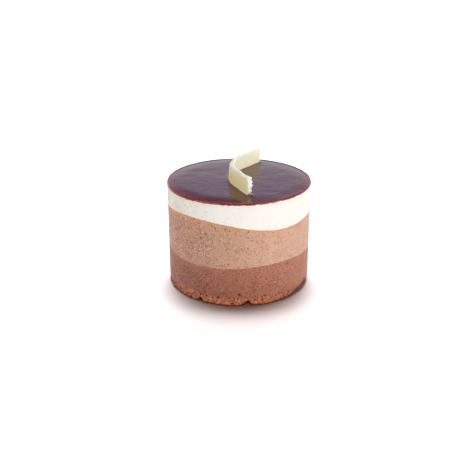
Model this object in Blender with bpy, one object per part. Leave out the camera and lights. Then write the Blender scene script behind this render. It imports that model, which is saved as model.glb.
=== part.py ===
"""A round chocolate mousse entremet for one person, 65.5 mm across.

From the bottom up it has a ragged chocolate sponge, dark chocolate mousse, milk
chocolate mousse, white chocolate mousse, a mirror glaze, and a bent strip of white
chocolate that stands on its edge. Every layer runs through the whole cake.

Metres, +Z up. The origin is the centre of the flat underside, the front is -Y, and
angles round the cake start at the front and grow towards +X.
"""

import math

import bmesh
import bpy
from mathutils import Vector, noise

MM = 0.001

# Driving dimensions of the cake: its wall widens a little from the foot to the glaze
GLAZE_RADIUS = 32.75 * MM
WALL_TOP_RADIUS = 32.68 * MM
WALL_FOOT_RADIUS = 32.42 * MM
GLAZE_TOP = 48.4 * MM
JOINT_GAP = 0.3 * MM

# Mean height of each poured surface, and its waves: (waves round the cake, height, phase in degrees)
GLAZE_UNDERSIDE = 47.45 * MM
GLAZE_TILT = ((1, 0.4 * MM, -20.0),)
WHITE_MOUSSE_FLOOR = 37.1 * MM
WHITE_MOUSSE_WAVES = ((1, -2.0 * MM, 0.0), (2, -0.4 * MM, 0.0), (3, -0.95 * MM, 0.0))
MILK_MOUSSE_FLOOR = 18.3 * MM
MILK_MOUSSE_WAVES = ((2, 0.3 * MM, -45.0), (3, 0.5 * MM, 0.0))

# The sponge: its mean thickness, where it swells, and how ragged its edge is
SPONGE_TOP = 3.9 * MM
SWELL_HEIGHT = 0.9 * MM
SWELL_ANGLE = -50.0
SWELL_SPREAD = 26.0
CRAG_HEIGHT = 0.75 * MM
CRAG_DEPTH = 0.75 * MM
CRAG_SIZE = 2.3 * MM
FLAT_SHARE = 0.955
FOOT_LIFT = 0.25 * MM

# Bites out of the sponge's lower edge: (angle, half width, height, depth), angles in degrees
EDGE_BITES = (
    (7.2, 3.2, 1.5 * MM, 1.5 * MM),
    (-32.7, 2.6, 1.2 * MM, 1.1 * MM),
    (-118.0, 3.0, 1.3 * MM, 1.2 * MM),
    (146.0, 3.4, 1.4 * MM, 1.3 * MM),
)

# Where the sponge's lower edge is worn away: (angle, half width, height, depth)
WORN_EDGE = (66.0, 24.0, 1.5 * MM, 1.6 * MM)

# The glaze rolls over at the rim with this radius
GLAZE_ROLL = 0.75 * MM

# Mousse walls are nearly smooth, with faint hollows
HOLLOW_DEPTH = 0.12 * MM
HOLLOW_SIZE = 11.0 * MM

# The white chocolate strip, seen from above, starts at its broken front end
STRIP_START = (4.2 * MM, -22.3 * MM)
STRIP_LENGTH = 53.8 * MM
STRIP_THICKNESS = 2.0 * MM
STRIP_FIRST_HEADING = -24.3
STRIP_LAST_HEADING = 36.5
BEND_START = 13.7 * MM
BEND_END = 40.6 * MM
STRIP_HEIGHTS = (7.9 * MM, 7.2 * MM, 7.15 * MM)
STRIP_LEAN = 0.4 * MM
STRIP_STATIONS = 40
BREAK_SLANT = 0.45 * MM
BROKEN_DEPTH = 0.7 * MM
CHIPPED_HEIGHT = 1.8 * MM
CHIPPED_DEPTH = 1.4 * MM
BROKEN_STATIONS = 3

# How finely the round layers are cut
FINE_SEGMENTS = 160
PLAIN_SEGMENTS = 120


def remove_everything():
    """Start from an empty scene."""
    for thing in list(bpy.data.objects):
        bpy.data.objects.remove(thing, do_unlink=True)


def food_material(name, colour, roughness):
    """Give one sub-part its own plain food finish."""
    material = bpy.data.materials.new(name)
    material.use_nodes = True
    shader = material.node_tree.nodes["Principled BSDF"]
    shader.inputs["Base Color"].default_value = (*colour, 1.0)
    shader.inputs["Roughness"].default_value = roughness
    shader.inputs["Metallic"].default_value = 0.0
    material.diffuse_color = (*colour, 1.0)
    return material


def finished_object(name, shape, material):
    """Turn a closed bmesh into a smooth-shaded object in the scene."""
    shape.normal_update()
    bmesh.ops.recalc_face_normals(shape, faces=shape.faces)
    mesh = bpy.data.meshes.new(name)
    shape.to_mesh(mesh)
    shape.free()
    mesh.materials.append(material)
    mesh.shade_smooth()
    mesh.set_sharp_from_angle(angle=math.radians(40.0))
    piece = bpy.data.objects.new(name, mesh)
    bpy.context.scene.collection.objects.link(piece)
    return piece


def angle_apart(angle, centre_degrees):
    """Return the distance between two directions round the cake, in degrees."""
    apart = math.degrees(angle) - centre_degrees
    return (apart + 180.0) % 360.0 - 180.0


def soft_bump(distance, half_width):
    """Return 1 at the centre of a bump and fall smoothly to 0 well outside it."""
    return math.exp(-((distance / half_width) ** 2))


def poured_height(mean, waves, angle, share):
    """Return the height of a poured surface, level on the axis and wavy at the wall."""
    height = mean
    for count, size, phase in waves:
        height += size * share**count * math.sin(count * angle + math.radians(phase))
    return height


def crag(angle, share, height):
    """Return ragged relief from -1 to 1 for a point of the sponge's skin."""
    radius = share * WALL_FOOT_RADIUS
    place = Vector((radius * math.sin(angle), -radius * math.cos(angle), height))
    coarse = noise.noise(place / CRAG_SIZE)
    fine = noise.noise(place * 2.3 / CRAG_SIZE)
    return max(-1.0, min(1.0, 1.3 * coarse + 0.7 * fine))


def sponge_top(angle, share):
    """Return the sponge's upper surface, ragged only near the wall."""
    swell = SWELL_HEIGHT * soft_bump(angle_apart(angle, SWELL_ANGLE), SWELL_SPREAD)
    rag = CRAG_HEIGHT * crag(angle, share, 0.0) * share**8
    return SPONGE_TOP + (swell + rag) * share**2


def milk_floor(angle, share):
    """Return the surface where milk chocolate mousse meets dark."""
    return poured_height(MILK_MOUSSE_FLOOR, MILK_MOUSSE_WAVES, angle, share)


def white_floor(angle, share):
    """Return the surface where white chocolate mousse meets milk."""
    return poured_height(WHITE_MOUSSE_FLOOR, WHITE_MOUSSE_WAVES, angle, share)


def glaze_floor(angle, share):
    """Return the surface where the glaze meets white chocolate mousse."""
    return poured_height(GLAZE_UNDERSIDE, GLAZE_TILT, angle, share)


def turned_blank(profile, segments):
    """Spin a half profile of (radius share, height share) points into a closed solid of size 1."""
    shape = bmesh.new()
    points = [shape.verts.new((share, 0.0, level)) for share, level in profile]
    edges = [shape.edges.new(pair) for pair in zip(points, points[1:])]
    bmesh.ops.spin(
        shape,
        geom=points + edges,
        cent=(0.0, 0.0, 0.0),
        axis=(0.0, 0.0, 1.0),
        angle=math.tau,
        steps=segments,
        use_merge=True,
    )
    bmesh.ops.remove_doubles(shape, verts=shape.verts, dist=0.0001)
    return shape


def drum_profile(lower_rings, wall_rows, upper_rings):
    """List the half profile of a drum: underside rings, wall rows and top rings."""
    profile = [(0.0, 0.0)]
    profile += [(share, 0.0) for share in lower_rings]
    profile += [(1.0, row / wall_rows) for row in range(wall_rows + 1)]
    profile += [(share, 1.0) for share in reversed(upper_rings)]
    profile.append((0.0, 1.0))
    return profile


def shaped_layer(name, profile, segments, floor, ceiling, wall, material):
    """Spin a drum, then set every point by the layer's floor, ceiling and wall functions."""
    shape = turned_blank(profile, segments)
    for vertex in shape.verts:
        share = math.hypot(vertex.co.x, vertex.co.y)
        angle = math.atan2(vertex.co.x, -vertex.co.y)
        level = vertex.co.z
        low = floor(angle, share)
        height = low + level * (ceiling(angle, share) - low)
        radius = share * wall(angle, height, level)
        vertex.co = (radius * math.sin(angle), -radius * math.cos(angle), height)
    # Two layers that meet are cut along the same diagonals, so that their gap stays even.
    bmesh.ops.triangulate(shape, faces=shape.faces, quad_method="SHORT_EDGE")
    return finished_object(name, shape, material)


def mousse_wall(angle, height, level):
    """Return the radius of a mousse wall, a little wider at the top and faintly hollowed."""
    place = Vector((math.sin(angle), -math.cos(angle), 0.0)) * WALL_FOOT_RADIUS
    place.z = height
    hollow = 0.5 + 0.5 * noise.noise(place / HOLLOW_SIZE)
    widening = (WALL_TOP_RADIUS - WALL_FOOT_RADIUS) * (height / GLAZE_TOP) ** 2
    return WALL_FOOT_RADIUS + widening - HOLLOW_DEPTH * hollow


def edge_damage(angle):
    """Return how far the sponge's lower edge is lifted and pushed in at this angle."""
    lift = 0.0
    push = 0.0
    for centre, half_width, height, depth in (*EDGE_BITES, WORN_EDGE):
        bump = soft_bump(angle_apart(angle, centre), half_width)
        lift += height * bump
        push += depth * bump
    return lift, push


def sponge_wall(angle, height, level):
    """Return the radius of the sponge's ragged wall: flush with the mousse above, worn below."""
    pit = 0.5 - 0.5 * crag(angle, 1.0, height)
    push = edge_damage(angle)[1]
    below_top = 1.0 - level**3
    near_foot = max(0.0, 1.0 - 2.0 * level)
    return mousse_wall(angle, height, level) - CRAG_DEPTH * pit * below_top - push * near_foot


def sponge():
    """Make the ragged chocolate sponge, flat underneath."""

    def underside(angle, share):
        rim = max(0.0, (share - FLAT_SHARE) / (1.0 - FLAT_SHARE))
        return rim * (FOOT_LIFT + edge_damage(angle)[0])

    def ceiling(angle, share):
        return sponge_top(angle, share) - 0.5 * JOINT_GAP

    profile = drum_profile((0.6, 0.9, FLAT_SHARE), 4, (0.6, 0.92))
    material = food_material("sponge_base", (0.40, 0.145, 0.07), 0.9)
    return shaped_layer(
        "sponge_base", profile, FINE_SEGMENTS, underside, ceiling, sponge_wall, material
    )


def dark_mousse():
    """Make the dark chocolate mousse on the sponge."""

    def floor(angle, share):
        return sponge_top(angle, share) + 0.5 * JOINT_GAP

    def ceiling(angle, share):
        return milk_floor(angle, share) - 0.5 * JOINT_GAP

    profile = drum_profile((0.6, 0.92), 3, (0.5,))
    material = food_material("dark_chocolate_mousse", (0.37, 0.15, 0.10), 0.75)
    return shaped_layer(
        "dark_chocolate_mousse", profile, FINE_SEGMENTS, floor, ceiling, mousse_wall, material
    )


def milk_mousse():
    """Make the milk chocolate mousse, whose top slopes down to the right."""

    def floor(angle, share):
        return milk_floor(angle, share) + 0.5 * JOINT_GAP

    def ceiling(angle, share):
        return white_floor(angle, share) - 0.5 * JOINT_GAP

    profile = drum_profile((0.5,), 3, (0.5,))
    material = food_material("milk_chocolate_mousse", (0.64, 0.37, 0.26), 0.7)
    return shaped_layer(
        "milk_chocolate_mousse", profile, PLAIN_SEGMENTS, floor, ceiling, mousse_wall, material
    )


def white_mousse():
    """Make the white chocolate mousse under the glaze."""

    def floor(angle, share):
        return white_floor(angle, share) + 0.5 * JOINT_GAP

    def ceiling(angle, share):
        return glaze_floor(angle, share) - 0.5 * JOINT_GAP

    profile = drum_profile((0.5,), 3, ())
    material = food_material("white_chocolate_mousse", (0.92, 0.88, 0.81), 0.6)
    return shaped_layer(
        "white_chocolate_mousse", profile, PLAIN_SEGMENTS, floor, ceiling, mousse_wall, material
    )


def glaze():
    """Make the mirror glaze: a thin disc whose rim rolls over into the wall."""

    def floor(angle, share):
        return glaze_floor(angle, share) + 0.5 * JOINT_GAP

    def ceiling(angle, share):
        return GLAZE_TOP

    def wall(angle, height, level):
        return GLAZE_RADIUS

    roll_share = GLAZE_ROLL / GLAZE_RADIUS
    roll_steps = 5
    profile = [(0.0, 0.0), (0.5, 0.0), (1.0, 0.0), (1.0, 0.25)]
    for step in range(1, roll_steps + 1):
        turn = 0.5 * math.pi * step / roll_steps
        share = 1.0 - roll_share * (1.0 - math.cos(turn))
        profile.append((share, 0.25 + 0.75 * math.sin(turn)))
    profile += [(0.5, 1.0), (0.0, 1.0)]
    material = food_material("mirror_glaze", (0.085, 0.022, 0.02), 0.08)
    return shaped_layer("mirror_glaze", profile, PLAIN_SEGMENTS, floor, ceiling, wall, material)


def strip_heading(distance):
    """Return the strip's direction at a distance along it, in radians from +Y towards +X."""
    turned = (distance - BEND_START) / (BEND_END - BEND_START)
    turned = max(0.0, min(1.0, turned))
    return math.radians(STRIP_FIRST_HEADING + turned * (STRIP_LAST_HEADING - STRIP_FIRST_HEADING))


def strip_route():
    """Walk along the strip and list the place and heading of its stations."""
    step = STRIP_LENGTH / STRIP_STATIONS
    place = Vector((*STRIP_START, 0.0))
    route = []
    for station in range(STRIP_STATIONS + 1):
        heading = strip_heading(station * step)
        route.append((place.copy(), heading))
        middle = strip_heading((station + 0.5) * step)
        place += step * Vector((math.sin(middle), math.cos(middle), 0.0))
    return route


def strip_height(share):
    """Return the strip's height at a share of its length."""
    front, middle, back = STRIP_HEIGHTS
    if share < 0.5:
        return front + (middle - front) * share * 2.0
    return middle + (back - middle) * (share - 0.5) * 2.0


def rounded_corner(across, up):
    """Pull the corners of a square section from -1 to 1 inwards, so that its edges are soft."""
    corner = abs(across) > 0.99 and abs(up) > 0.99
    if corner:
        return across * 0.8, up * 0.955
    return across, up


def broken_back(across, raised):
    """Return how far the broken front end is pushed back, most at its chipped inner foot."""
    rough = 0.5 + noise.noise(Vector((across * 1.7, raised / MM, 4.2)))
    chip = max(0.0, 1.0 - raised / CHIPPED_HEIGHT) * 0.5 * (across + 1.0)
    return BROKEN_DEPTH * rough + CHIPPED_DEPTH * chip - BREAK_SLANT * across


def white_chocolate_strip():
    """Make the bent strip: a block of small sections, extruded and then bent along its route."""
    columns, rows = 3, 5
    shape = bmesh.new()
    bmesh.ops.create_grid(shape, x_segments=columns, y_segments=rows, size=1.0)
    section = list(shape.faces)
    for station in range(STRIP_STATIONS):
        grown = bmesh.ops.extrude_face_region(shape, geom=section)["geom"]
        if station > 0:
            bmesh.ops.delete(shape, geom=section, context="FACES")
        section = [item for item in grown if isinstance(item, bmesh.types.BMFace)]
        moved = {vertex for face in section for vertex in face.verts}
        bmesh.ops.translate(shape, verts=list(moved), vec=(0.0, 0.0, 1.0))

    route = strip_route()
    foot = GLAZE_TOP + JOINT_GAP
    for vertex in shape.verts:
        across, up = rounded_corner(vertex.co.x, vertex.co.y)
        station = round(vertex.co.z)
        place, heading = route[station]
        tall = strip_height(station / STRIP_STATIONS) - JOINT_GAP
        raised = 0.5 * (up + 1.0) * tall
        forward = Vector((math.sin(heading), math.cos(heading), 0.0))
        inward = Vector((math.cos(heading), -math.sin(heading), 0.0))
        sideways = 0.5 * STRIP_THICKNESS * across + STRIP_LEAN * raised / tall
        fade = max(0.0, 1.0 - station / BROKEN_STATIONS)
        vertex.co = place + inward * sideways + forward * fade * broken_back(across, raised)
        vertex.co.z = foot + raised
    material = food_material("chocolate_curl", (0.83, 0.77, 0.60), 0.45)
    return finished_object("chocolate_curl", shape, material)


def main():
    """Build the cake from the bottom up."""
    remove_everything()
    sponge()
    dark_mousse()
    milk_mousse()
    white_mousse()
    glaze()
    white_chocolate_strip()


main()
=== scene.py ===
# %% [markdown]
# # An individual chocolate entremet
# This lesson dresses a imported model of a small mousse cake. The solids are the truth about
# size and place. Here every layer is made again as a fine mesh with its own pores, edges
# and finish, and put exactly where its solid is.

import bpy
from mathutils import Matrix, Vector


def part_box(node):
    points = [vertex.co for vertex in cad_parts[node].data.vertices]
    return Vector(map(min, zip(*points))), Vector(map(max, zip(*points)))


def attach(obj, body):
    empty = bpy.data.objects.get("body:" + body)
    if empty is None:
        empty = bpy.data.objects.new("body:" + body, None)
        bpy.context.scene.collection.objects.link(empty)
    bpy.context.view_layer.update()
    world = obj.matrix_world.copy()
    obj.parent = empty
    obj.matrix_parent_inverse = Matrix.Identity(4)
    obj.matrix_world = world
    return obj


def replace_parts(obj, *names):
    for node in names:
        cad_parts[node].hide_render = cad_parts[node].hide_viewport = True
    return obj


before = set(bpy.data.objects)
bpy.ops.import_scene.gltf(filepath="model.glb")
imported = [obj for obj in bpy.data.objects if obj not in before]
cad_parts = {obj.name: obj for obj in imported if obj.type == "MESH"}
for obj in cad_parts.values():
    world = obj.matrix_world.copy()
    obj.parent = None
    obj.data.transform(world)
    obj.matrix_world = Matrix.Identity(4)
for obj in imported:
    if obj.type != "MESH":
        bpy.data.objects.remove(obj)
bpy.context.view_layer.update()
print("solids:", sorted(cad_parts))

# %% The modules and the units
import functools
import math
import random

import bmesh
import bpy
from mathutils import Vector, kdtree, noise

MM = 0.001

# %% [markdown]
# ## The camera
# The cake was photographed from in front, looking down by about 22 degrees, with a short
# telephoto lens. The distance was found from how much narrower the foot looks than the
# glaze. An aimed camera without any shift is enough, because the cake sits near the
# middle of the picture.

# %% Place and aim the camera
CAMERA_PLACE = Vector((0.0, -372.3, 170.9)) * MM
CAMERA_AIM = Vector((-1.34, 0.0, 21.44)) * MM
CAMERA_LENS = 65.63


def add_camera(place, aim, lens):
    """Put a camera in the scene, looking from one point at another."""
    data = bpy.data.cameras.new("camera")
    data.lens = lens
    camera = bpy.data.objects.new("camera", data)
    camera.location = place
    camera.rotation_euler = (aim - place).to_track_quat("-Z", "Y").to_euler()
    bpy.context.scene.collection.objects.link(camera)
    bpy.context.scene.camera = camera
    return camera


add_camera(CAMERA_PLACE, CAMERA_AIM, CAMERA_LENS)
sight = CAMERA_AIM - CAMERA_PLACE
print("camera looks down by %.1f degrees" % -math.degrees(math.asin(sight.z / sight.length)))

# %% [markdown]
# ## Writing finishes as sums
# A finish is a tree of nodes, but a tree built node by node is hard to read. So one small
# class wraps a node's output, and plain Python sums on it add Math nodes. Colours go
# through Mix nodes, because a Math node would turn them grey.

# %% A value that knows shader maths
class Signal:
    """The output of a node, which can be used in ordinary sums."""

    def __init__(self, recipe, socket):
        self.recipe = recipe
        self.socket = socket

    def other(self, index):
        """Return another output of the same node."""
        return Signal(self.recipe, self.socket.node.outputs[index])

    def math(self, operation, first, second=0.0, clamp=False):
        settings = {"operation": operation, "use_clamp": clamp}
        return self.recipe.node("ShaderNodeMath", settings, {0: first, 1: second})

    def __add__(self, other):
        return self.math("ADD", self, other)

    def __radd__(self, other):
        return self.math("ADD", other, self)

    def __sub__(self, other):
        return self.math("SUBTRACT", self, other)

    def __rsub__(self, other):
        return self.math("SUBTRACT", other, self)

    def __mul__(self, other):
        return self.math("MULTIPLY", self, other)

    def __rmul__(self, other):
        return self.math("MULTIPLY", other, self)

    def clamped(self):
        return self.math("ADD", self, 0.0, clamp=True)


# %% A recipe for a node tree
class Recipe:
    """A node tree under construction."""

    def __init__(self, tree):
        self.tree = tree
        self.tree.nodes.clear()

    def node(self, kind, settings=None, inputs=None, output=0):
        """Add a node: its settings first, then the values or links of its sockets."""
        made = self.tree.nodes.new(kind)
        for name, value in (settings or {}).items():
            setattr(made, name, value)
        for name, value in (inputs or {}).items():
            if isinstance(value, Signal):
                self.tree.links.new(value.socket, made.inputs[name])
            else:
                made.inputs[name].default_value = value
        return Signal(self, made.outputs[output]) if made.outputs else made

    def mix(self, first, second, factor):
        """Blend two colours by a factor from 0 to 1."""
        settings = {"data_type": "RGBA", "clamp_factor": True}
        ends = [(*end, 1.0) if isinstance(end, tuple) else end for end in (first, second)]
        return self.node("ShaderNodeMix", settings, {0: factor, 6: ends[0], 7: ends[1]}, output=2)

    def grain(self, place, size, detail=2.0, distortion=0.0):
        """Make noise whose lumps are about the given size in metres."""
        inputs = {"Vector": place, "Scale": 1.0 / size, "Detail": detail, "Distortion": distortion}
        return self.node("ShaderNodeTexNoise", {}, inputs)

    def spread(self, value, low, high):
        """Stretch the range from low to high over 0 to 1, with soft ends."""
        settings = {"interpolation_type": "SMOOTHSTEP"}
        return self.node("ShaderNodeMapRange", settings, {"Value": value, 1: low, 2: high})

    def specks(self, place, spacing, radius, rarity):
        """Return 1 inside small scattered dots. rarity, from 0 to 1, thins them out."""
        cells = self.node("ShaderNodeTexVoronoi", {}, {"Vector": place, "Scale": 1.0 / spacing})
        chance = self.node("ShaderNodeSeparateColor", {}, {0: cells.other(1)})
        dots = 1.0 - self.spread(cells, 0.6 * radius / spacing, radius / spacing)
        return dots * ((chance - rarity) * 12.0).clamped()

    def attribute(self, name):
        """Read a value that was stored on the mesh's vertices."""
        return self.node("ShaderNodeAttribute", {"attribute_name": name}, output=2)

    def axis(self, place, index):
        """Read one coordinate of a place."""
        return self.node("ShaderNodeSeparateXYZ", {}, {0: place}, output=index)


# %% A finish ends in one Principled shader
def finish(name, colour, roughness, height, height_scale, **plain):
    """Make a material from functions of (recipe, place), with plain values for other sockets."""
    material = bpy.data.materials.new(name)
    material.use_nodes = True
    recipe = Recipe(material.node_tree)
    place = recipe.node("ShaderNodeTexCoord", output=3)
    inputs = {"Base Color": colour(recipe, place), "Roughness": roughness(recipe, place)}
    relief = {"Strength": 1.0, "Distance": height_scale, "Height": height(recipe, place)}
    inputs["Normal"] = recipe.node("ShaderNodeBump", {}, relief)
    for socket, value in plain.items():
        inputs[socket.replace("_", " ")] = value
    shader = recipe.node("ShaderNodeBsdfPrincipled", {}, inputs)
    recipe.node("ShaderNodeOutputMaterial", {}, {"Surface": shader})
    print("finish", name, "has", len(material.node_tree.nodes), "nodes")
    return material


# %% [markdown]
# ## Where the layers meet
# The layers were poured one after another into a ring. Each surface set a little uneven,
# so the joins run round the cake as long shallow waves. The waves here are the solids'
# own, and a fine ripple is added where a join shows at the wall. Each height is asked
# for many times, so Python is told to remember the answers.

# %% Read the main sizes from the solids
glaze_low, glaze_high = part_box("mirror_glaze")
GLAZE_RADIUS = glaze_high.x
GLAZE_TOP = glaze_high.z
WALL_TOP_RADIUS = GLAZE_RADIUS - 0.07 * MM
WALL_FOOT_RADIUS = GLAZE_RADIUS - 0.33 * MM
print("glaze radius %.2f mm, top at %.2f mm" % (GLAZE_RADIUS / MM, GLAZE_TOP / MM))

# %% The joins, as level surfaces with waves
GLAZE_JOIN = (47.45 * MM, ((1, 0.4 * MM, -20.0),))
WHITE_JOIN = (37.1 * MM, ((1, -2.0 * MM, 0.0), (2, -0.4 * MM, 0.0), (3, -0.95 * MM, 0.0)))
MILK_JOIN = (18.3 * MM, ((2, 0.3 * MM, -45.0), (3, 0.5 * MM, 0.0)))


def wall_point(angle, height, radius=WALL_FOOT_RADIUS):
    """Return a point of the wall. Angles start at the front and grow to the right."""
    return Vector((radius * math.sin(angle), -radius * math.cos(angle), height))


def join_height(join, ripple, ripple_size, angle, share):
    """Return the height of a join at an angle and a share of the radius."""
    mean, waves = join
    place = wall_point(angle, mean)
    fine = noise.noise(place / ripple_size) + 0.4 * noise.noise(place / (0.9 * MM))
    height = mean + ripple * share**6 * fine
    for count, size, phase in waves:
        height += size * share**count * math.sin(count * angle + math.radians(phase))
    return height


@functools.cache
def glaze_join(angle, share):
    return join_height(GLAZE_JOIN, 0.3 * MM, 1.0 * MM, angle, share)


@functools.cache
def white_join(angle, share):
    return join_height(WHITE_JOIN, 0.22 * MM, 5.0 * MM, angle, share)


@functools.cache
def milk_join(angle, share):
    return join_height(MILK_JOIN, 0.2 * MM, 4.2 * MM, angle, share)


# %% The sponge's ragged upper edge
SPONGE_MEAN = 3.9 * MM
SWELLS = ((-50.0, 26.0, 0.9 * MM), (62.0, 18.0, 0.6 * MM))
CRAG_SIZE = 2.3 * MM
CRAG_HEIGHT = 0.75 * MM


def bump_at(angle, centre_degrees, half_width):
    """Return 1 at a direction round the cake and fall to 0 beside it."""
    apart = (math.degrees(angle) - centre_degrees + 180.0) % 360.0 - 180.0
    return math.exp(-((apart / half_width) ** 2))


def crag(angle, height):
    """Return the sponge's coarse relief, from -1 to 1."""
    place = wall_point(angle, height)
    relief = 1.3 * noise.noise(place / CRAG_SIZE) + 0.7 * noise.noise(place * 2.3 / CRAG_SIZE)
    return max(-1.0, min(1.0, relief))


@functools.cache
def sponge_join(angle, share):
    """Return the join of sponge and dark mousse: torn crumb with mousse run into it."""
    swell = sum(rise * bump_at(angle, centre, width) for centre, width, rise in SWELLS)
    torn = 0.3 * MM * noise.noise(wall_point(angle, 0.0) / (0.9 * MM))
    rag = (CRAG_HEIGHT * crag(angle, 0.0) + torn) * share**8
    return SPONGE_MEAN + (swell + rag) * share**2


print("sponge %.2f mm thick at the front" % (sponge_join(0.0, 1.0) / MM))

# %% [markdown]
# ## Rolling a layer
# A layer is a round slab. Spinning a half outline makes one, but each step of a spin
# looks at the whole mesh again, so a thousand steps are slow. A flat grid is made in one
# stroke. Its columns are rolled round the axis, its rows follow the slab's half outline
# from the middle of the underside to the middle of the top, and the seam and the two
# poles are welded.

# %% Roll a grid into a slab of radius 1 and height 1
def rolled_slab(outline, segments):
    """Roll a grid whose rows lie at the outline's (share of the radius, level) pairs."""
    shape = bmesh.new()
    rows = len(outline) - 1
    bmesh.ops.create_grid(shape, x_segments=segments, y_segments=rows, size=0.5)
    for vertex in shape.verts:
        share, level = outline[round((vertex.co.y + 0.5) * rows)]
        vertex.co = wall_point(math.tau * vertex.co.x, level, share)
    bmesh.ops.remove_doubles(shape, verts=shape.verts, dist=0.00001)
    return shape


def slab_outline(foot_shares, wall_rows, top_shares):
    """List a slab's half outline, with its wall in many even rows."""
    foot = [(share, 0.0) for share in foot_shares]
    wall = [(1.0, row / wall_rows) for row in range(wall_rows + 1)]
    top = [(share, 1.0) for share in top_shares]
    return foot + wall + top


# %% Move the slab's points to the joins and the wall
EDGE_BLUR = 1.0 * MM


def shape_slab(shape, floor, ceiling, wall):
    """Place every point, and store how near it is to the layer's top and foot."""
    near_top = shape.verts.layers.float.new("near_top")
    near_foot = shape.verts.layers.float.new("near_foot")
    for vertex in shape.verts:
        share = round(min(1.0, math.hypot(vertex.co.x, vertex.co.y)), 4)
        angle = round(math.atan2(vertex.co.x, -vertex.co.y), 5)
        low = floor(angle, share)
        high = ceiling(angle, share)
        height = low + vertex.co.z * (high - low)
        vertex[near_top] = math.exp(-(high - height) / EDGE_BLUR)
        vertex[near_foot] = math.exp(-(height - low) / EDGE_BLUR)
        vertex.co = wall_point(angle, height, share * wall(angle, height))


# %% Press pores into a wall
# A pore this deep gets the full painted shade.
FULL_PORE = 0.3 * MM


def press_pores(shape, pores):
    """Push the wall in at each (angle, height, radius, depth), and store how deep it lies, which the
    finishes turn into painted shade in the pore.
    """
    painted_shade = shape.verts.layers.float.new("painted_shade")
    shape.verts.ensure_lookup_table()
    tree = kdtree.KDTree(len(shape.verts))
    for index, vertex in enumerate(shape.verts):
        tree.insert(vertex.co, index)
    tree.balance()
    pushed = {}
    for angle, height, radius, depth in pores:
        nearest = tree.find(wall_point(angle, height))[0]
        centre = wall_point(angle, height, nearest.xy.length)
        for _, index, distance in tree.find_range(centre, radius):
            hollow = math.sqrt(max(0.0, 1.0 - (distance / radius) ** 2))
            pushed[index] = max(pushed.get(index, 0.0), depth * hollow)
    for index, depth in pushed.items():
        vertex = shape.verts[index]
        inward = Vector((-vertex.co.x, -vertex.co.y, 0.0)).normalized()
        vertex.co += inward * depth
        # The depth is stored as painted shade for the finishes.
        vertex[painted_shade] = min(1.0, depth / FULL_PORE)
    print("pores:", len(pores), "moved points:", len(pushed))


# %% Scatter pores over a wall
def scatter_pores(seed, count, sizes, floor, ceiling, liking):
    """Draw pores from a seeded sequence. liking says how likely a place is to have one."""
    draw = random.Random(seed)
    smallest, largest = sizes
    pores = []
    while len(pores) < count:
        angle = round(draw.uniform(-math.pi, math.pi), 5)
        level = draw.random()
        if draw.random() > liking(math.degrees(angle), level):
            continue
        radius = smallest + (largest - smallest) * draw.random() ** 3
        low = floor(angle, 1.0)
        height = low + level * (ceiling(angle, 1.0) - low)
        pores.append((angle, height, radius, radius * draw.uniform(0.5, 1.0)))
    return pores


def join_pores(seed, count):
    """Draw the row of wide pores where the sponge drew air out of the mousse."""
    draw = random.Random(seed)
    pores = []
    for _ in range(count):
        angle = round(draw.uniform(-math.pi, math.pi), 5)
        height = sponge_join(angle, 1.0) + draw.uniform(-0.7, 0.5) * MM
        radius = draw.uniform(0.2, 0.42) * MM
        pores.append((angle, height, radius, 0.9 * radius))
    return pores


def chosen_pores(places):
    """Turn listed pores, as (degrees, height, radius), into the same form."""
    return [(math.radians(turn), height, radius, 0.9 * radius) for turn, height, radius in places]


# %% Turn a shaped bmesh into a finished piece
def serve(name, shape, material):
    """Make the object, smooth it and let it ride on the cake's one body."""
    shape.normal_update()
    bmesh.ops.recalc_face_normals(shape, faces=shape.faces)
    triangles = len(shape.calc_loop_triangles())
    mesh = bpy.data.meshes.new(name)
    shape.to_mesh(mesh)
    shape.free()
    mesh.shade_smooth()
    mesh.materials.append(material)
    piece = bpy.data.objects.new(name, mesh)
    bpy.context.scene.collection.objects.link(piece)
    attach(piece, "root")
    print(name, "has", triangles, "triangles")
    return piece


# %% [markdown]
# ## The mousse walls
# Mousse that sets in a lined ring leaves an almost straight wall with a few long, faint
# hollows. Its air bubbles show as small open pores.

# %% The common wall
HOLLOW_SIZE = 11.0 * MM
HOLLOW_DEPTH = 0.12 * MM
SKIN_DEPTH = 0.03 * MM


def mousse_wall(angle, height):
    """Return the wall's radius: slightly wider at the top, faintly hollowed and rippled."""
    place = wall_point(angle, height)
    hollow = 0.5 + 0.5 * noise.noise(place / HOLLOW_SIZE)
    skin = noise.noise(place / (1.5 * MM)) + 0.7 * noise.noise(place / (0.6 * MM))
    widening = (WALL_TOP_RADIUS - WALL_FOOT_RADIUS) * (height / GLAZE_TOP) ** 2
    return WALL_FOOT_RADIUS + widening - HOLLOW_DEPTH * hollow + SKIN_DEPTH * skin


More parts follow.
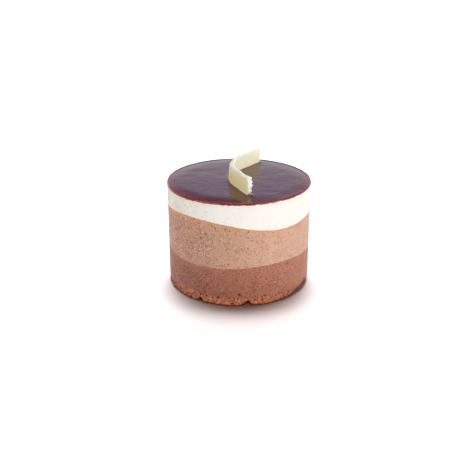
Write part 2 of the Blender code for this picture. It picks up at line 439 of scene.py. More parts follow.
# %% A finish for mousse
def mousse_finish(name, shades, sides, blush, ends, mottle, stains, rarity, **plain):
    """Foam that is paler on one side, with clouds, fine grain, specks and stained joins.

    shades are the colours of the left side and the right side, and the darker left one is partly
    painted shade for the side away from the key light; sides says between which places one turns into
    the other. blush is a warmer tint that comes and goes in clouds. ends are the colours of the
    grain's pale lumps and of the darker grain between them, which also paints the shade in pores and
    specks, and mottle is how much both show on the left and on the right.
    stains are the colours and strengths where the layer meets its neighbours above and
    below, and they are weaker on the right. rarity, from 0 to 1, thins out the specks,
    which come singly and in crowds.
    """
    pale, grain_and_pore_shade = ends

    def speckle(recipe, place):
        side = recipe.spread(recipe.axis(place, 0), -0.03, 0.03)
        crowd = recipe.spread(recipe.grain(place, 5.0 * MM, 1.0), 0.42, 0.62)
        single = recipe.specks(place, 1.15 * MM, 0.34 * MM, rarity + 0.25 * side)
        chance = rarity + 0.45 + 0.2 * side - 0.5 * crowd
        return (single + recipe.specks(place, 0.75 * MM, 0.29 * MM, chance)).clamped()

    def colour(recipe, place):
        # The left shade is darker partly as painted shade, on the side away from the key light.
        side = recipe.spread(recipe.axis(place, 0), *sides)
        clouds = recipe.spread(recipe.grain(place, 4.0 * MM, 3.0), 0.35, 0.65)
        body = recipe.mix(recipe.mix(*shades, side), blush, 0.5 * clouds)
        lumps = recipe.grain(place, 0.8 * MM, 3.0)
        patches = recipe.spread(recipe.grain(place, 6.0 * MM, 2.0), 0.35, 0.65)
        shown = (mottle[0] + (mottle[1] - mottle[0]) * side) * (0.5 + 0.9 * patches)
        body = recipe.mix(body, pale, (1.0 - recipe.spread(lumps, 0.34, 0.54)) * shown)
        grain = recipe.spread(lumps, 0.46, 0.66)
        body = recipe.mix(body, grain_and_pore_shade, grain * shown)
        for edge, (stain, strength) in zip(("near_top", "near_foot"), stains):
            amount = recipe.attribute(edge) * (0.55 + 0.9 * grain) * (1.0 - 0.45 * side)
            body = recipe.mix(body, stain, (amount * strength).clamped())
        # Pores and specks are darkened towards the grain's dark colour: painted shade in the pits.
        dark = (recipe.attribute("painted_shade") * 0.95 + 0.7 * speckle(recipe, place)).clamped()
        return recipe.mix(body, grain_and_pore_shade, dark)

    def roughness(recipe, place):
        return 0.5 + 0.14 * recipe.grain(place, 1.0 * MM)

    def height(recipe, place):
        bubbles = recipe.grain(place, 0.35 * MM, 3.0) + 0.5 * recipe.grain(place, 0.9 * MM)
        return bubbles - 0.8 * speckle(recipe, place)

    return finish(name, colour, roughness, height, 0.14 * MM, **plain)


# %% [markdown]
# ## The three mousses
# Dark, milk and white chocolate mousse differ in colour and in how airy they set. The dark one has
# its largest pores low down, the milk one is most open on the left and just under the white, and the
# white one is nearly closed. A few pores are listed one by one, where they are plain to see, and a
# seeded draw scatters the rest.

# %% Dark chocolate mousse
MOUSSE_SEGMENTS = 900
JOIN_PITS = (
    (-26.6, 3.6 * MM, 0.55 * MM),
    (-16.4, 3.8 * MM, 0.62 * MM),
    (-38.5, 3.6 * MM, 0.5 * MM),
    (0.3, 5.7 * MM, 0.6 * MM),
    (-14.9, 0.9 * MM, 0.4 * MM),
    (-33.0, 5.0 * MM, 0.4 * MM),
    (21.0, 4.3 * MM, 0.45 * MM),
    (44.0, 3.2 * MM, 0.5 * MM),
)
DARK_PITS = (
    (-26.2, 14.0 * MM, 0.4 * MM),
    (-55.6, 8.6 * MM, 0.4 * MM),
    (12.6, 7.8 * MM, 0.35 * MM),
    (25.9, 6.1 * MM, 0.35 * MM),
)


def dark_liking(angle, level):
    return 0.2 + 0.8 * (1.0 - level) ** 3


dark = rolled_slab(slab_outline((0.0, 0.5, 0.97), 64, (0.97, 0.5, 0.0)), MOUSSE_SEGMENTS)
shape_slab(dark, sponge_join, milk_join, mousse_wall)
dark_pores = scatter_pores(11, 260, (0.16 * MM, 0.42 * MM), sponge_join, milk_join, dark_liking)
row_of_pores = join_pores(21, 46) + chosen_pores(JOIN_PITS)
press_pores(dark, dark_pores + row_of_pores + chosen_pores(DARK_PITS))
dark_finish = mousse_finish(
    "dark_chocolate_mousse",
    # The darker left shade is partly painted shade; the second end colour also paints the shade in
    # pores and specks.
    shades=((0.218, 0.0865, 0.0425), (0.352, 0.146, 0.075)),
    sides=(-0.03, 0.02),
    blush=(0.355, 0.078, 0.052),
    ends=((0.45, 0.185, 0.12), (0.135, 0.027, 0.013)),
    mottle=(0.57, 0.48),
    stains=(((0.46, 0.18, 0.08), 0.6), ((0.36, 0.125, 0.065), 0.9)),
    rarity=0.5,
    Specular_IOR_Level=0.4,
    Sheen_Weight=0.05,
    Sheen_Roughness=0.35,
    Sheen_Tint=(0.5, 0.7, 1.0, 1.0),
)
dark_piece = serve("dark_mousse", dark, dark_finish)
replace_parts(dark_piece, "dark_chocolate_mousse")

# %% Milk chocolate mousse
MILK_PITS = (
    (-25.8, 33.1 * MM, 0.42 * MM),
    (-24.7, 31.7 * MM, 0.35 * MM),
    (-30.3, 30.8 * MM, 0.4 * MM),
    (-18.4, 36.1 * MM, 0.45 * MM),
    (-19.5, 36.9 * MM, 0.35 * MM),
    (-21.2, 37.4 * MM, 0.42 * MM),
    (-10.4, 36.2 * MM, 0.42 * MM),
    (-38.5, 25.8 * MM, 0.36 * MM),
    (-40.0, 27.4 * MM, 0.34 * MM),
    (-40.0, 20.4 * MM, 0.32 * MM),
    (7.1, 35.3 * MM, 0.42 * MM),
    (7.2, 32.5 * MM, 0.36 * MM),
    (6.8, 27.4 * MM, 0.34 * MM),
    (33.8, 22.0 * MM, 0.34 * MM),
)


def milk_liking(angle, level):
    left = 0.5 - 0.5 * math.sin(math.radians(angle) * 0.9)
    return 0.1 + 0.5 * left + 0.4 * level**4


milk = rolled_slab(slab_outline((0.0, 0.5, 0.97), 84, (0.97, 0.5, 0.0)), MOUSSE_SEGMENTS)
shape_slab(milk, milk_join, white_join, mousse_wall)
milk_pores = scatter_pores(5, 420, (0.15 * MM, 0.36 * MM), milk_join, white_join, milk_liking)
press_pores(milk, milk_pores + chosen_pores(MILK_PITS))
milk_finish = mousse_finish(
    "milk_chocolate_mousse",
    # The darker left shade is partly painted shade; the second end colour also paints the shade in
    # pores and specks.
    shades=((0.35, 0.170, 0.085), (0.515, 0.311, 0.212)),
    sides=(-0.028, 0.012),
    blush=(0.485, 0.23, 0.14),
    ends=((0.66, 0.44, 0.33), (0.23, 0.09, 0.036)),
    mottle=(0.52, 0.14),
    stains=(((0.60, 0.25, 0.08), 1.5), ((0.42, 0.215, 0.15), 0.3)),
    rarity=0.42,
    Specular_IOR_Level=0.55,
    Sheen_Weight=0.12,
    Sheen_Roughness=0.35,
    Sheen_Tint=(0.5, 0.7, 1.0, 1.0),
)
milk_piece = serve("milk_mousse", milk, milk_finish)
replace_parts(milk_piece, "milk_chocolate_mousse")

# %% White chocolate mousse
def white_liking(angle, level):
    return 0.2 + 0.8 * bump_at(math.radians(angle), -40.0, 50.0)


white = rolled_slab(slab_outline((0.0, 0.5, 0.97), 46, (0.97, 0.5, 0.0)), MOUSSE_SEGMENTS)
shape_slab(white, white_join, glaze_join, mousse_wall)
white_pores = scatter_pores(8, 130, (0.14 * MM, 0.3 * MM), white_join, glaze_join, white_liking)
press_pores(white, white_pores)
white_finish = mousse_finish(
    "white_chocolate_mousse",
    # The darker left shade is partly painted shade; the second end colour also paints the shade in
    # pores and specks.
    shades=((0.62, 0.57, 0.47), (0.76, 0.75, 0.695)),
    sides=(-0.036, -0.006),
    blush=(0.76, 0.745, 0.68),
    ends=((0.80, 0.78, 0.72), (0.45, 0.40, 0.30)),
    mottle=(0.26, 0.04),
    stains=(((0.50, 0.36, 0.30), 0.55), ((0.70, 0.54, 0.38), 0.5)),
    rarity=0.8,
    Specular_IOR_Level=0.4,
)
white_piece = serve("white_mousse", white, white_finish)
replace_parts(white_piece, "white_chocolate_mousse")

# %% [markdown]
# ## The sponge
# The base was cut from a thin baked sheet, so its edge is torn crumb. Its relief is
# coarse crags with finer crumb on them and deep pores. Two bites at the front, two at
# the back and a worn stretch on the right break the lower edge.

# %% The sponge's wall and foot
EDGE_BITES = (
    (7.2, 3.2, 1.5 * MM, 1.5 * MM),
    (-32.7, 2.6, 1.2 * MM, 1.1 * MM),
    (-118.0, 3.0, 1.3 * MM, 1.2 * MM),
    (146.0, 3.4, 1.4 * MM, 1.3 * MM),
    (66.0, 18.0, 1.9 * MM, 0.9 * MM),
)
CRAG_DEPTH = 0.75 * MM
FOOT_LIFT = 0.35 * MM
FLAT_SHARE = 0.92


@functools.cache
def edge_damage(angle):
    """Return how far the lower edge is lifted and pushed in."""
    bumps = [(bump_at(angle, centre, width), up, deep) for centre, width, up, deep in EDGE_BITES]
    return sum(b * up for b, up, _ in bumps), sum(b * deep for b, _, deep in bumps)


@functools.cache
def sponge_foot(angle, share):
    """Return the underside: flat, lifted only at the rim."""
    rim = max(0.0, (share - FLAT_SHARE) / (1.0 - FLAT_SHARE))
    return rim * (FOOT_LIFT + edge_damage(angle)[0])


def sponge_wall(angle, height):
    """Return the torn wall's radius, flush with the mousse at its top."""
    low = sponge_foot(angle, 1.0)
    level = (height - low) / (sponge_join(angle, 1.0) - low)
    level = max(0.0, min(1.0, level))
    place = wall_point(angle, height)
    pit = 0.5 - 0.5 * crag(angle, height)
    crumb = 0.2 * noise.noise(place / (0.85 * MM)) + 0.12 * noise.noise(place / (0.4 * MM))
    below_top = 1.0 - level**3
    push = edge_damage(angle)[1] * max(0.0, 1.0 - 2.0 * level)
    return mousse_wall(angle, height) - (CRAG_DEPTH * pit - crumb * MM) * below_top - push


# %% Make the sponge
foot_shares = (0.0, 0.5, 0.89, FLAT_SHARE, 0.94, 0.96, 0.975, 0.99)
sponge_outline = slab_outline(foot_shares, 28, (0.97, 0.5, 0.0))
sponge = rolled_slab(sponge_outline, 1300)
shape_slab(sponge, sponge_foot, sponge_join, sponge_wall)
sponge_pores = scatter_pores(
    3, 230, (0.2 * MM, 0.6 * MM), sponge_foot, sponge_join, lambda angle, level: 1.0
)
press_pores(sponge, sponge_pores + row_of_pores)


def sponge_colour(recipe, place):
    """Orange-brown crumb with toasted specks, and painted shade at both sides, in the pores and along
    the foot.
    """
    patches = recipe.spread(recipe.grain(place, 2.0 * MM, 3.0), 0.35, 0.65)
    lumps = recipe.grain(place, 0.9 * MM, 3.0, 0.5)
    crumbs = recipe.spread(lumps, 0.46, 0.62)
    pale_lumps = 1.0 - recipe.spread(lumps, 0.36, 0.52)
    # Painted shade: darker on the left, away from the key light, and on the right under the lifted,
    # worn edge.
    left = 1.0 - recipe.spread(recipe.axis(place, 0), -0.031, -0.02)
    right = recipe.spread(recipe.axis(place, 0), 0.008, 0.026)
    body = recipe.mix((0.735, 0.262, 0.122), (0.55, 0.17, 0.085), patches)
    body = recipe.mix(body, (0.29, 0.12, 0.07), left * 0.85)
    body = recipe.mix(body, (0.35, 0.115, 0.055), right * 0.82)
    body = recipe.mix(body, (0.72, 0.34, 0.18), pale_lumps * 0.4)
    body = recipe.mix(body, (0.15, 0.034, 0.016), crumbs * 0.64)
    toasted = recipe.specks(place, 0.95 * MM, 0.32 * MM, 0.5)
    body = recipe.mix(body, (0.12, 0.028, 0.014), toasted * 0.66)
    body = recipe.mix(body, (0.35, 0.13, 0.075), recipe.attribute("near_top") * 0.45)
    # A painted contact shadow: a dark band along the foot, under the sponge's lifted edge.
    foot_shadow = recipe.spread(recipe.attribute("near_foot"), 0.68, 0.95)
    body = recipe.mix(body, (0.09, 0.03, 0.018), foot_shadow * 0.85)
    # Pores are darkened as painted shade.
    return recipe.mix(body, (0.06, 0.016, 0.010), recipe.attribute("painted_shade") * 0.9)


def sponge_roughness(recipe, place):
    return 0.8 + 0.1 * recipe.grain(place, 0.6 * MM)


def sponge_height(recipe, place):
    return recipe.grain(place, 0.3 * MM, 3.0)


sponge_finish = finish(
    "sponge_base", sponge_colour, sponge_roughness, sponge_height, 0.18 * MM, Specular_IOR_Level=0.3
)
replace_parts(serve("sponge", sponge, sponge_finish), "sponge_base")

# %% [markdown]
# ## Crumbs
# A few crumbs broke off the sponge and stay stuck against its foot. Three of them lie in a clump at
# the front notch. A small ball, pulled out of round by noise, makes a crumb, and all of them are one
# piece. They lie in the shade, so their colour is darkened with painted shade.

# %% Make the crumbs
CRUMBS = (
    (6.9, 0.25 * MM, 0.78 * MM),
    (4.7, 0.2 * MM, 0.62 * MM),
    (9.1, 0.15 * MM, 0.5 * MM),
    (-33.5, -0.2 * MM, 0.45 * MM),
    (-119.0, 0.2 * MM, 0.6 * MM),
    (147.0, 0.1 * MM, 0.7 * MM),
    (178.0, 0.1 * MM, 0.45 * MM),
)


def add_crumb(shape, angle, out, radius):
    """Add one lumpy crumb that rests on the floor against the sponge."""
    ball = bmesh.ops.create_icosphere(shape, subdivisions=4, radius=radius)["verts"]
    seat = edge_damage(round(angle, 5))[1]
    centre = wall_point(angle, 0.6 * radius, WALL_FOOT_RADIUS - seat + out)
    for vertex in ball:
        spot = vertex.co + centre
        lump = noise.noise(spot / (0.7 * radius)) + 0.5 * noise.noise(spot / (0.3 * radius))
        vertex.co *= 1.0 + 0.3 * lump
        vertex.co.z *= 0.75
        vertex.co += centre
        vertex.co.z = max(vertex.co.z, 0.0)


# Painted shade: how much the crumbs' colour is darkened.
CRUMB_SHADE = 0.66
crumbs = bmesh.new()
for turn, out, radius in CRUMBS:
    add_crumb(crumbs, math.radians(turn), out, radius)
for left_at_zero in ("near_top", "near_foot"):
    crumbs.verts.layers.float.new(left_at_zero)
shaded = crumbs.verts.layers.float.new("painted_shade")
for vertex in crumbs.verts:
    vertex[shaded] = CRUMB_SHADE
serve("crumbs", crumbs, sponge_finish)

# %% [markdown]
# ## The strip's route
# The white chocolate strip was bent while it was still soft. Seen from above it runs
# straight, turns in one long bend and runs straight again. Walking along it in short
# steps gives both its own bend and the line where the glaze climbs against it.

# %% Walk along the strip
STRIP_START = Vector((4.2, -22.3, 0.0)) * MM
STRIP_LENGTH = 53.8 * MM
STRIP_THICKNESS = 2.0 * MM
STRIP_HEADINGS = (-24.3, 36.5)
BEND = (13.7 * MM, 40.6 * MM)
STRIP_HEIGHTS = (7.9 * MM, 7.2 * MM, 7.15 * MM)
STRIP_LEAN = 0.4 * MM
STATIONS = 360


def strip_heading(distance):
    """Return the direction of the strip in radians from +Y towards +X."""
    turned = (distance - BEND[0]) / (BEND[1] - BEND[0])
    turned = max(0.0, min(1.0, turned))
    return math.radians(STRIP_HEADINGS[0] + turned * (STRIP_HEADINGS[1] - STRIP_HEADINGS[0]))


def walk_strip():
    """List the place of every station along the strip's middle line."""
    step = STRIP_LENGTH / STATIONS
    route = [STRIP_START.copy()]
    for station in range(STATIONS):
        heading = strip_heading((station + 0.5) * step)
        route.append(route[-1] + step * Vector((math.sin(heading), math.cos(heading), 0.0)))
    return route


route = walk_strip()
print("the strip ends at %.1f, %.1f mm" % tuple(route[-1].xy / MM))

# %% [markdown]
# ## The mirror glaze
# Warm glaze was poured over the set cake. It lies level, sinks a little towards the rim,
# less so on the right of the front, rolls over there, and climbs where it wets the strip.
# It is dense dark syrup, so only its skin shows and the skin mirrors the room. Where it thins out
# over the rim, the colour under it glows through. Up against the strip it is orange, partly as thin
# glaze and partly as a painted warm reflection of the strip.
# A grid rolled round the axis gives it rings, and each ring's points move by plain rules.

# %% The glaze's half outline
GLAZE_ROLL = 0.75 * MM
GLAZE_RINGS = 118
GLAZE_SEGMENTS = 640
ROLL_STEPS = 12


def glaze_outline():
    """List the glaze's half outline: flat below, rolled over at the rim, flat on top."""
    roll = GLAZE_ROLL / GLAZE_RADIUS
    outline = [(0.0, 0.0), (0.5, 0.0), (0.97, 0.0), (1.0, 0.0), (1.0, 0.12), (1.0, 0.25)]
    for step in range(1, ROLL_STEPS + 1):
        turn = 0.5 * math.pi * step / ROLL_STEPS
        outline.append((1.0 - roll * (1.0 - math.cos(turn)), 0.25 + 0.75 * math.sin(turn)))
    for ring in range(GLAZE_RINGS - 1, -1, -1):
        outline.append(((1.0 - roll) * ring / GLAZE_RINGS, 1.0))
    return outline


# %% Measure how near the strip is, and how much thin film and painted reflection of the strip lie beside it
GLOW_STATIONS = (0.42 * STATIONS, 0.97 * STATIONS)
FILM_AND_REFLECTION_REACH = 1.8 * MM
FRONT_GLOW = 0.75
FRONT_FILM_AND_REFLECTION_REACH = 0.9 * MM

route_tree = kdtree.KDTree(len(route))
for station, place in enumerate(route):
    route_tree.insert(place, station)
route_tree.balance()


def beside_strip(spot):
    """Return how far a spot is from the strip, and how much thin film and painted warm reflection of
    the strip lie there.

    There is most in the angle behind the bend, and some again close to the front leg, where the
    painted reflection stands in for the dark under the foot.
    """
    middle, station, distance = route_tree.find(Vector((spot.x, spot.y, 0.0)))
    heading = strip_heading(station * STRIP_LENGTH / STATIONS)
    across = (spot.x - middle.x) * math.cos(heading) - (spot.y - middle.y) * math.sin(heading)
    apart = max(0.0, distance - 0.5 * STRIP_THICKNESS)
    if across > 0.0 and GLOW_STATIONS[0] < station < GLOW_STATIONS[1]:
        return apart, math.exp(-apart / FILM_AND_REFLECTION_REACH)
    in_front = 1.0 - min(1.0, station / GLOW_STATIONS[0])
    return apart, FRONT_GLOW * math.sqrt(in_front) * math.exp(-apart / FRONT_FILM_AND_REFLECTION_REACH)


# %% Roll the glaze and let it climb against the strip
CLIMB_HEIGHT = 0.2 * MM
CLIMB_REACH = 0.9 * MM
THIN_REACH = 3.2 * MM
BACK_GLOW = 0.3
SWELL_HEIGHT = 0.02 * MM
SWELL_SIZE = 8.0 * MM
SAG_DEPTH = 0.3 * MM
SAG_REACH = 8.0 * MM
FULL_SIDE = (36.0, 27.0)
FULL_SHARE = 0.8

glaze = rolled_slab(glaze_outline(), GLAZE_SEGMENTS)
film_and_strip_reflection = glaze.verts.layers.float.new("film_and_strip_reflection")
thin = glaze.verts.layers.float.new("thin")
for vertex in glaze.verts:
    level = vertex.co.z
    share = round(min(1.0, math.hypot(vertex.co.x, vertex.co.y)), 4)
    angle = round(math.atan2(vertex.co.x, -vertex.co.y), 5)
    low = glaze_join(angle, share)
    spot = wall_point(angle, low + level * (GLAZE_TOP - low), share * GLAZE_RADIUS)
    from_rim = (1.0 - share) * GLAZE_RADIUS
    # The rim glows along the front and the sides, and less and less towards the back.
    forward = min(1.0, 1.0 + math.cos(angle))
    vertex[thin] = math.exp(-from_rim / THIN_REACH) * (1.0 - 0.2 * level)
    vertex[thin] *= BACK_GLOW + (1.0 - BACK_GLOW) * forward
    if level > 0.99 and share < 0.97:
        apart, vertex[film_and_strip_reflection] = beside_strip(spot)
        spot.z += CLIMB_HEIGHT * math.exp(-apart / CLIMB_REACH)
        spot.z += SWELL_HEIGHT * noise.noise(spot / SWELL_SIZE)
    if level > 0.99:
        full = FULL_SHARE * bump_at(angle, *FULL_SIDE)
        spot.z -= SAG_DEPTH * (1.0 - full) * max(0.0, 1.0 - from_rim / SAG_REACH) ** 2
    vertex.co = spot


# %% The glaze's finish
def glaze_colour(recipe, place):
    clouds = recipe.spread(recipe.grain(place, 9.0 * MM, 2.0), 0.3, 0.7)
    body = recipe.mix((0.049, 0.009, 0.008), (0.041, 0.007, 0.006), clouds)
    body = recipe.mix(body, (0.165, 0.03, 0.026), recipe.spread(recipe.attribute("thin"), 0.05, 1.0))
    # Orange beside the strip: partly thin glaze, partly a painted warm reflection of the strip.
    return recipe.mix(body, (0.27, 0.085, 0.012), recipe.spread(recipe.attribute("film_and_strip_reflection"), 0.1, 0.9))


def glaze_roughness(recipe, place):
    return 0.06 + 0.06 * recipe.grain(place, 5.0 * MM)


def glaze_height(recipe, place):
    """Long swells, with faint streaks across where the palette knife ran."""
    stretch = {0: place, 1: (0.3, 1.0, 1.0)}
    stretched = recipe.node("ShaderNodeVectorMath", {"operation": "MULTIPLY"}, stretch)
    return recipe.grain(place, 11.0 * MM, 2.0, 1.2) + 0.3 * recipe.grain(stretched, 3.6 * MM, 1.0)


glaze_finish = finish(
    "mirror_glaze",
    glaze_colour,
    glaze_roughness,
    glaze_height,
    0.075 * MM,
    Specular_IOR_Level=0.5,
    Specular_Tint=(1.0, 0.84, 0.64, 1.0),
)
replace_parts(serve("glaze", glaze, glaze_finish), "mirror_glaze")

# %% [markdown]
# ## The white chocolate strip
# A strip is cut from a thin sheet of tempered chocolate, so it starts as a long flat box
# with softened edges. Cutting its edges into short lengths gives it enough points to
# bend. Its outer top edge is worn round and dips near the front. The front end snapped
# off, so that end gets the crumbly relief of a break, with torn teeth on its inner edge.

# %% Cut a flat strip
def cut_along(shape, axis, cuts):
    """Cut every edge that runs along one axis into equal lengths."""
    edges = []
    for edge in shape.edges:
        step = edge.verts[1].co - edge.verts[0].co
        if abs(step[axis]) > 0.99 * step.length and step.length > 0.3:
            edges.append(edge)
    bmesh.ops.subdivide_edges(shape, edges=edges, cuts=cuts, use_grid_fill=True)


EDGE_SOFTNESS = 0.22
strip = bmesh.new()
bmesh.ops.create_cube(strip, size=1.0)
strip_size = (STRIP_THICKNESS / MM, STRIP_LENGTH / MM, STRIP_HEIGHTS[1] / MM)
bmesh.ops.scale(strip, vec=strip_size, verts=strip.verts)
bmesh.ops.bevel(
    strip,
    geom=strip.edges[:],
    offset=EDGE_SOFTNESS,
    offset_type="OFFSET",
    segments=3,
    profile=0.5,
    affect="EDGES",
    material=-1,
)
cut_along(strip, axis=1, cuts=320)
cut_along(strip, axis=2, cuts=44)
cut_along(strip, axis=0, cuts=13)
print("strip blank:", len(strip.verts), "points")

# %% Where the strip is worn, snapped and toothed
STRIP_FOOT = GLAZE_TOP - 0.1 * MM
BREAK_FORWARD = 0.5
BREAK_TOE = 1.0
BREAK_REACH = 4.0
WORN_RADIUS = 1.1
FOOT_CHIP = 0.4 * MM
FOOT_CHIP_REACH = 2.2 * MM
TOOTH_SIZE = 1.1
TOOTH_REACH = 0.55
DIP_DEPTH = 0.55 * MM
DIP_PLACE = 0.13
DIP_WIDTH = 0.08


def strip_height(share):
    """Return the strip's height at a share of its length."""
    front, middle, back = STRIP_HEIGHTS
    if share < 0.5:
        dip = DIP_DEPTH * math.exp(-(((share - DIP_PLACE) / DIP_WIDTH) ** 2))
        return front + (middle - front) * share * 2.0 - dip
    return middle + (back - middle) * (share - 0.5) * 2.0


def worn_drop(inside):
    """Return how far the top has worn down, this many millimetres in from the outer face."""
    left = max(0.0, WORN_RADIUS - inside)
    return WORN_RADIUS - math.sqrt(max(0.0, WORN_RADIUS**2 - left**2))


def break_depth(across, raised):
    """Return how far the snapped end is pushed back, in millimetres."""
    inner = 0.5 * (1.0 + across)
    rough = noise.noise(Vector((across * 1.3, raised * 0.9, 4.2)))
    crumble = 0.5 * noise.noise(Vector((across * 3.0, raised * 2.4, 9.1)))
    crumble += 0.35 * noise.noise(Vector((across * 4.0, raised * 4.5, 1.7)))
    chip = 1.6 * max(0.0, 1.0 - raised / 1.8) * inner
    round_foot = 1.0 * max(0.0, 1.0 - raised / 1.6) ** 2
    toe = BREAK_TOE * (1.0 - inner) * max(0.0, 1.0 - raised / 8.0)
    return 0.5 * rough + crumble + chip + round_foot - toe - BREAK_FORWARD


def tooth_depth(across, raised):
    """Return how far the snapped edge is torn in from the inner face, in millimetres."""
    coarse = noise.noise(Vector((3.1, raised / 0.75, 5.7)))
    fine = noise.noise(Vector((7.3, raised / 0.38, 2.9)))
    return (0.7 * coarse + 0.55 * fine - 0.05) * 0.5 * (across + 1.0)


# %% Bend the strip and break its front end
snapped = strip.verts.layers.float.new("snapped")
outside = strip.verts.layers.float.new("outside")
topmost = strip.verts.layers.float.new("topmost")
for vertex in strip.verts:
    across, along, up = [value / size for value, size in zip(vertex.co, strip_size)]
    share = max(0.0, min(1.0, along + 0.5))
    lower = min(STATIONS - 1, int(share * STATIONS))
    place = route[lower].lerp(route[lower + 1], share * STATIONS - lower)
    heading = strip_heading(share * STRIP_LENGTH)
    tall = strip_height(share) + GLAZE_TOP - STRIP_FOOT
    raised = (up + 0.5) * (tall - worn_drop((across + 0.5) * strip_size[0]) * MM)
    forward = Vector((math.sin(heading), math.cos(heading), 0.0))
    inward = Vector((math.cos(heading), -math.sin(heading), 0.0))
    from_end = share * STRIP_LENGTH / MM
    back = max(0.0, 1.0 - from_end / BREAK_REACH) * break_depth(2.0 * across, raised / MM)
    tooth = TOOTH_SIZE * math.exp(-from_end / TOOTH_REACH)
    tooth *= tooth_depth(2.0 * across, raised / MM)
    lift = FOOT_CHIP * math.exp(-from_end / 1.6) * max(0.0, 1.0 - raised / FOOT_CHIP_REACH) ** 2
    sideways = STRIP_THICKNESS * across + STRIP_LEAN * raised / tall - tooth * MM
    vertex[snapped] = math.exp(-from_end / 0.6)
    vertex[outside] = 0.5 - across
    vertex[topmost] = math.exp(-(0.5 - up) * strip_size[2] / 0.15)
    vertex.co = place + inward * sideways + forward * back * MM
    vertex.co.z = STRIP_FOOT + raised + lift
strip.normal_update()
for vertex in strip.verts:
    wobble = noise.noise(vertex.co / (4.0 * MM)) * 0.06 + noise.noise(vertex.co / (1.2 * MM)) * 0.02
    vertex.co += vertex.normal * wobble * MM


# %% The strip's finish
def strip_colour(recipe, place):
    """Ivory, yellower and darker on the outer face partly as painted shade, with painted shade on the
    top and a painted highlight along its inner edge, white where it snapped.
    """
    clouds = recipe.spread(recipe.grain(place, 3.0 * MM, 3.0), 0.3, 0.7)
    inner = recipe.mix((1.0, 0.985, 0.75), (0.99, 0.965, 0.70), clouds)
    # The outer face is yellower and darker, partly as painted shade for the side away from the key
    # light.
    outer = recipe.mix((1.0, 0.885, 0.495), (0.985, 0.85, 0.45), clouds)
    body = recipe.mix(inner, outer, recipe.spread(recipe.attribute("outside"), 0.62, 1.0))
    # The top is painted darker, against the strong overhead lamp, and lighter along its inner edge as
    # a painted highlight.
    from_edge = recipe.spread(recipe.attribute("outside"), 0.05, 0.35)
    top_shade_and_highlight = recipe.mix((0.68, 0.67, 0.58), (0.48, 0.47, 0.36), from_edge)
    body = recipe.mix(body, top_shade_and_highlight, recipe.attribute("topmost"))
    return recipe.mix(body, (0.93, 0.95, 0.84), recipe.attribute("snapped"))


def strip_roughness(recipe, place):
    return 0.36 + 0.12 * recipe.grain(place, 1.5 * MM) + 0.35 * recipe.attribute("snapped")


def strip_relief(recipe, place):
    return recipe.grain(place, 0.6 * MM, 3.0)


strip_finish = finish(
    "chocolate_curl", strip_colour, strip_roughness, strip_relief, 0.03 * MM, Specular_IOR_Level=0.45
)
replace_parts(serve("white_chocolate_strip", strip, strip_finish), "chocolate_curl")

# %% [markdown]
# ## The floor and the room
# The cake stands on a white surface that fades into a white room. The room is painted on
# the sky: white near the horizon, grey with a lilac cast higher up behind the cake, and
# dim above the photographer. A long soft light hangs high up behind the cake, in line
# with the camera. It whitens the floor and lays the shadow straight in front of the cake.
# Seen in a mirror it would bleach the whole glaze from above, so its mirror images are
# dimmed, as a polarising filter does.

# %% A white floor
FLOOR_SIZE = 8.0
floor_shape = bmesh.new()
bmesh.ops.create_grid(floor_shape, x_segments=1, y_segments=1, size=FLOOR_SIZE / 2)
floor_mesh = bpy.data.meshes.new("floor")
floor_shape.to_mesh(floor_mesh)
floor_shape.free()
floor = bpy.data.objects.new("floor", floor_mesh)
bpy.context.scene.collection.objects.link(floor)
floor_material = bpy.data.materials.new("floor")
floor_material.use_nodes = True
floor_recipe = Recipe(floor_material.node_tree)
floor_inputs = {"Base Color": (0.96, 0.913, 0.897, 1.0), "Roughness": 0.22, "Specular IOR Level": 0.4}
floor_shader = floor_recipe.node("ShaderNodeBsdfPrincipled", {}, floor_inputs)
floor_recipe.node("ShaderNodeOutputMaterial", {}, {"Surface": floor_shader})
floor_mesh.materials.append(floor_material)

# %% The room
HORIZON = (1.04, 1.06, 1.20)
BEHIND = (0.475, 0.48, 0.79)
CEILING = (0.10, 0.095, 0.115)
FRONT_HORIZON = (0.26, 0.26, 0.28)
FRONT_CEILING = (0.03, 0.03, 0.03)
LAMP = 32.5
FILTERED_SHARE = 0.85


def height_of(degrees):
    """Return how high a direction at this elevation points, from 0 to 1."""
    return math.sin(math.radians(degrees))


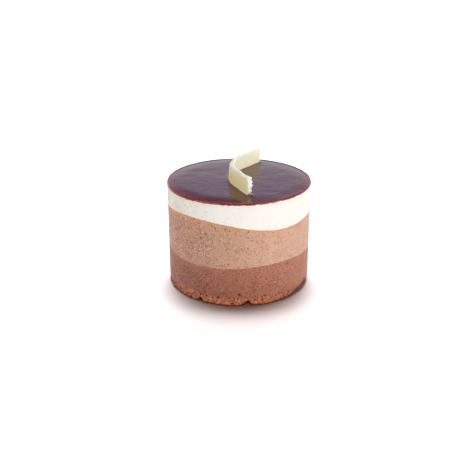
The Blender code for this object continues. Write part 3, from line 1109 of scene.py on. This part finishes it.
world = bpy.data.worlds.new("room")
bpy.context.scene.world = world
world.use_nodes = True
room = Recipe(world.node_tree)
direction = room.node("ShaderNodeTexCoord", output=0)
to_right, to_back, up = [room.axis(direction, index) for index in range(3)]
above_walls = room.spread(up, height_of(15.0), height_of(21.0))
overhead = room.spread(up, height_of(19.0), height_of(26.0))
behind = room.spread(to_back, -0.3, 0.3)
low_part = room.mix(FRONT_HORIZON, HORIZON, behind)
high_part = room.mix(FRONT_CEILING, room.mix(BEHIND, CEILING, overhead), behind)
walls = room.mix(low_part, high_part, above_walls)
beside_lamp = room.spread(to_right * to_right, 0.008, 0.065)
bright_part = 1.0 - room.spread((to_back - 0.17) * (to_back - 0.17), 0.002, 0.018)
long_part = room.spread(to_back, 0.0, 0.1) * (1.0 - room.spread(to_back, 0.55, 0.75))
along_lamp = (0.57 * bright_part + 0.43 * long_part) * room.spread(up, 0.0, 0.4)
in_mirror = room.node("ShaderNodeLightPath", output=3)
lit = (1.0 - beside_lamp) * along_lamp * (1.0 - FILTERED_SHARE * in_mirror)
room_colour = room.mix(walls, (LAMP, LAMP, LAMP), lit)
background = room.node("ShaderNodeBackground", {}, {"Color": room_colour, "Strength": 1.0})
room.node("ShaderNodeOutputWorld", {}, {"Surface": background})


# %% Two soft lights low in front
spared = bpy.data.collections.new("spared_by_the_front_lights")
spared.objects.link(floor)
spared.collection_objects[0].light_linking.link_state = "EXCLUDE"


def add_soft_light(name, turn, elevation, size, power, colour):
    """Add a wide light that faces the cake, at a turn from the front towards the right.

    It leaves the floor alone, so it can't wash out the dark line under the cake.
    """
    data = bpy.data.lights.new(name, "AREA")
    data.shape = "RECTANGLE"
    data.size = size[0]
    data.size_y = size[1]
    data.energy = power
    data.color = colour
    light = bpy.data.objects.new(name, data)
    distance = 1.2
    flat = distance * math.cos(math.radians(elevation))
    light.location = wall_point(math.radians(turn), distance * height_of(elevation), flat)
    aim = Vector((0.0, 0.0, 0.5 * GLAZE_TOP))
    light.rotation_euler = (aim - light.location).to_track_quat("-Z", "Y").to_euler()
    light.visible_camera = False
    light.light_linking.receiver_collection = spared
    bpy.context.scene.collection.objects.link(light)
    return light


add_soft_light("key_light", 54.0, 3.2, (0.9, 0.12), 9.4, (1.0, 0.985, 0.96))
add_soft_light("fill_light", -50.0, 3.2, (0.9, 0.12), 5.2, (1.0, 1.0, 1.0))
bpy.context.scene.view_settings.view_transform = "Standard"
bpy.context.scene.view_settings.look = "None"
